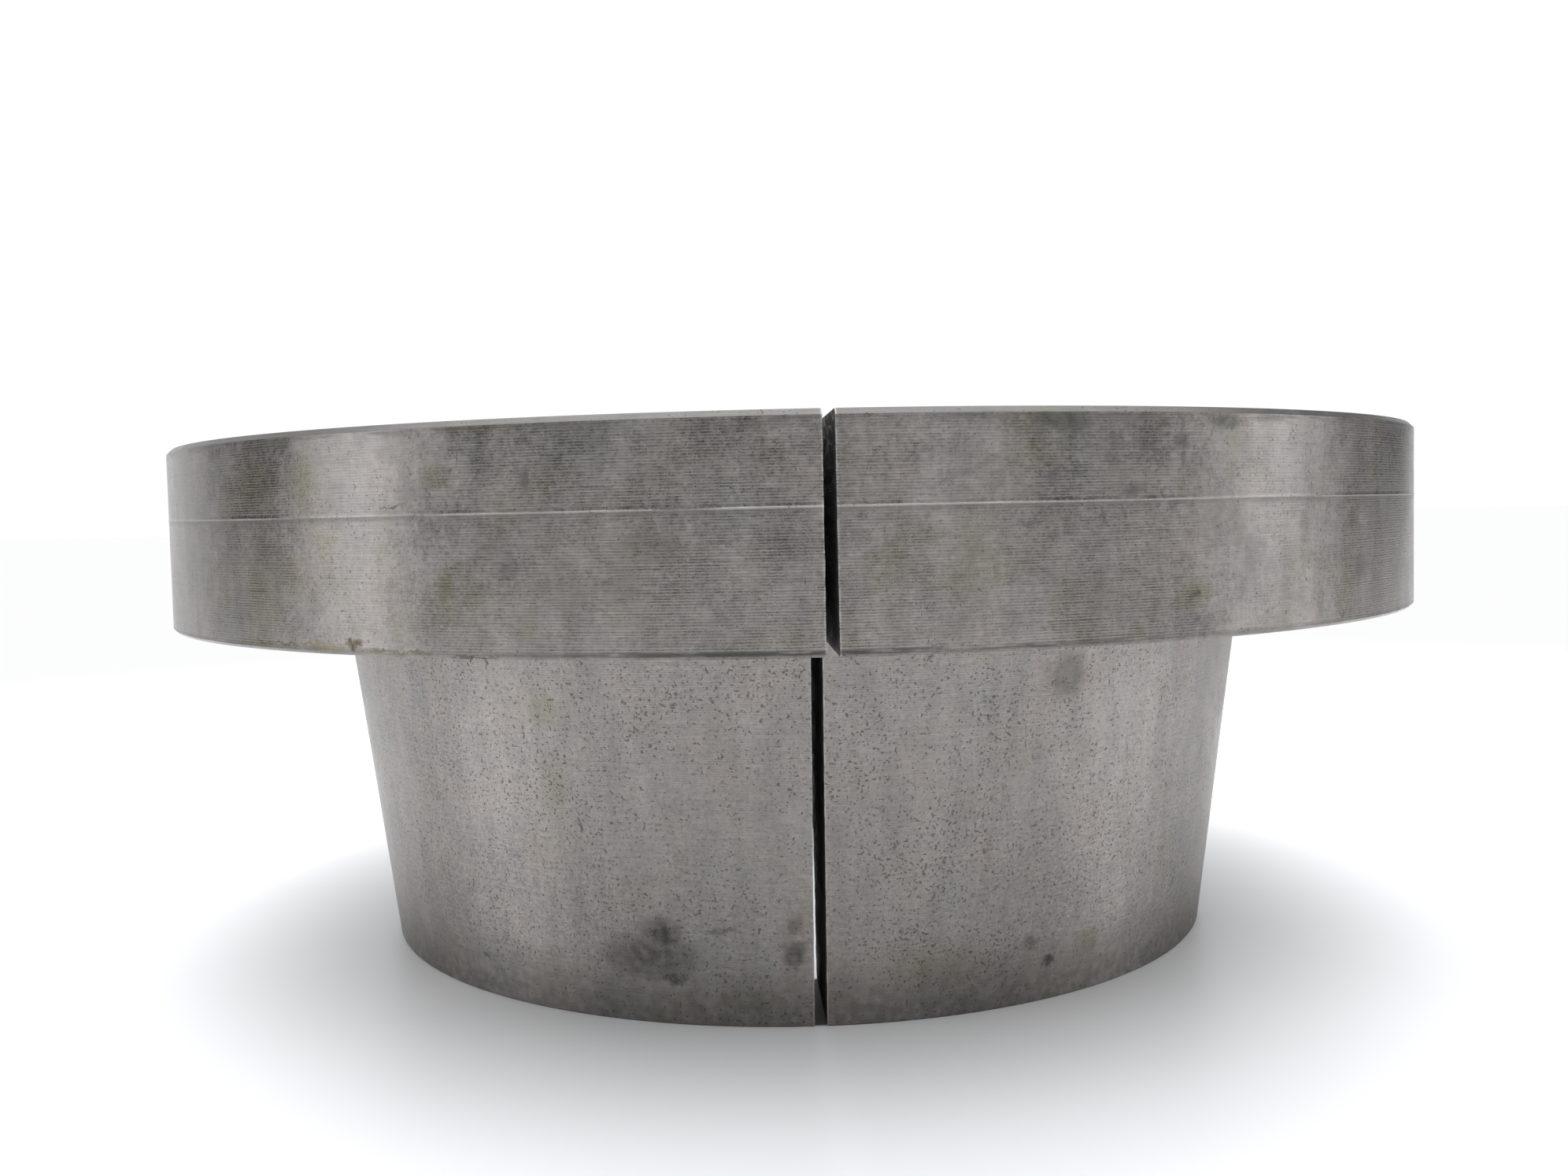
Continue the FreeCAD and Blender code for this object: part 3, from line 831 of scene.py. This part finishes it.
class BUSHING_OT_set_screw(bpy.types.Operator):
    """Build the threaded cup-point set screw with its hexagon socket"""

    bl_idname = "bushing.set_screw"
    bl_label = "Key set screw"

    def execute(self, context):
        sizes = context.scene.set_screw_sizes
        radius, end = sizes.radius, sizes.length
        # the screw is made along Z, from its socket at z = 0 to its point
        outline = [
            (0, 0), (radius - sizes.chamfer, 0), (radius, sizes.chamfer),
            (radius, end - sizes.point_length), (radius - sizes.point_length, end),
            (sizes.cup_radius, end), (0, end - sizes.cup_depth),
        ]
        screw = to_object(spin_outline(outline, 96, closed=False), "cup_point_screw")
        thread = helix(radius + 0.2 * MM, radius - sizes.thread_depth, sizes.pitch,
                       -sizes.pitch, end + sizes.pitch)
        carve(screw, thread)

        # the socket is a drilled pilot, a hexagon and a bevelled mouth
        corner = sizes.socket_width / math.sqrt(3)
        pilot = 0.47 * sizes.socket_width
        depth = sizes.socket_depth
        carve(screw, spin_outline([
            (0, -SPARE), (pilot, -SPARE), (pilot, depth + sizes.pilot_depth),
            (0, depth + sizes.pilot_point),
        ], 48, closed=False))
        socket = bmesh.new()
        bmesh.ops.create_cone(socket, cap_ends=True, segments=6, radius1=corner, radius2=corner,
                              depth=depth + SPARE)
        bmesh.ops.translate(socket, vec=(0, 0, (depth - SPARE) / 2), verts=socket.verts)
        carve(screw, socket)
        mouth = bmesh.new()
        flare = corner + sizes.socket_chamfer
        bmesh.ops.create_cone(mouth, cap_ends=True, segments=96, radius1=flare + SPARE,
                              radius2=flare - 2 * SPARE, depth=3 * SPARE)
        bmesh.ops.translate(mouth, vec=(0, 0, SPARE / 2), verts=mouth.verts)
        carve(screw, mouth)

        # its socket end goes to the outside of the flange and its point towards the bore
        middle = (SCREW_LOW + SCREW_HIGH) / 2
        lay_down = Matrix.Rotation(math.radians(90), 4, "X")
        lay_down.translation = (middle.x, SCREW_HIGH.y, middle.z)
        screw.data.transform(lay_down)
        finish_mesh(screw, math.radians(28))
        screw.data.materials.clear()
        screw.data.materials.append(black_oxide(context.scene.finish_colours))
        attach(screw, "set_screw")
        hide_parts("key_set_screw")
        return {"FINISHED"}


class BUSHING_OT_stage(bpy.types.Operator):
    """Set up the camera, the pale floor and the soft studio light"""

    bl_idname = "bushing.stage"
    bl_label = "Studio"

    def execute(self, context):
        studio = context.scene.studio_settings
        self.add_camera(context, studio)
        self.add_floor(studio, context.scene.bushing_body_sizes)
        self.add_light(context, studio)
        context.scene.view_settings.view_transform = "Standard"
        return {"FINISHED"}

    def add_camera(self, context, studio):
        """A camera low in front of the slit."""
        data = bpy.data.cameras.new("camera")
        data.sensor_width = 36
        data.lens = studio.camera_lens
        data.clip_start = 1 * MM
        camera = bpy.data.objects.new("camera", data)
        context.scene.collection.objects.link(camera)
        azimuth = studio.camera_azimuth
        stand = Vector((-math.sin(azimuth), -math.cos(azimuth), 0)) * studio.camera_distance
        stand.z = studio.camera_height
        camera.matrix_world = (
            Matrix.Translation(stand)
            @ Matrix.Rotation(studio.camera_heading - azimuth, 4, "Z")
            @ Matrix.Rotation(math.radians(90) - studio.camera_pitch, 4, "X")
            @ Matrix.Rotation(studio.camera_roll, 4, "Z")
        )
        context.scene.camera = camera

    def add_floor(self, studio, sizes):
        """A wide plain floor that the body stands on."""
        bm = bmesh.new()
        bmesh.ops.create_grid(bm, x_segments=1, y_segments=1, size=studio.floor_size / 2)
        floor = to_object(bm, "floor")
        floor.data.materials.append(floor_finish(studio, sizes))

    def add_light(self, context, studio):
        """A pale surround with broad soft panels, painted on the world by direction."""
        world = bpy.data.worlds.new("studio")
        context.scene.world = world
        graph = Graph(world, "Background")
        right, back, rise = graph.axes(graph.node("ShaderNodeTexCoord", output="Generated"))
        turned = right.angle_from(-back) * (180 / math.pi)

        panels = 0.0
        for direction, half_width, soft_edge, strength in PANELS.values():
            off_centre = abs(turned - direction)
            panels = panels + strength * off_centre.ramp(half_width + soft_edge, half_width)
        behind = (-turned).ramp(115, 129).most(turned.ramp(132, 148))
        surround = 0.13 - 0.03 * abs(turned).ramp(88, 98) + 0.96 * behind
        sides = 0.10 * rise.ramp(0.30, 0.60) * abs(turned).ramp(60, 100)
        overhead = 2.6 * rise.ramp(0.52, 0.88)
        light = surround + panels * rise.ramp(0.75, 0.35) + sides + overhead
        graph.set(Strength=light * studio.backdrop_strength, Color=(0.97, 0.985, 1.0))


class BUSHING_PT_panel(bpy.types.Panel):
    """Lists the pieces in the sidebar"""

    bl_idname = "BUSHING_PT_panel"
    bl_label = "Flanged taper bushing"
    bl_space_type = "VIEW_3D"
    bl_region_type = "UI"
    bl_category = "Bushing"

    def draw(self, context):
        for operator in PIECES:
            self.layout.operator(operator.bl_idname)


PIECES = (BUSHING_OT_body, BUSHING_OT_set_screw, BUSHING_OT_stage)
GROUPS = {
    "bushing_body_sizes": BushingBodySizes,
    "set_screw_sizes": SetScrewSizes,
    "finish_colours": FinishColours,
    "studio_settings": StudioSettings,
}


def register():
    for item in (*GROUPS.values(), *PIECES, BUSHING_PT_panel):
        bpy.utils.register_class(item)
    for name, group in GROUPS.items():
        setattr(bpy.types.Scene, name, PointerProperty(type=group))


def unregister():
    for name in GROUPS:
        delattr(bpy.types.Scene, name)
    for item in reversed((*GROUPS.values(), *PIECES, BUSHING_PT_panel)):
        bpy.utils.unregister_class(item)


def main():
    register()
    bpy.ops.bushing.stage()
    bpy.ops.bushing.body()
    bpy.ops.bushing.set_screw()


if __name__ == "__main__":
    main()
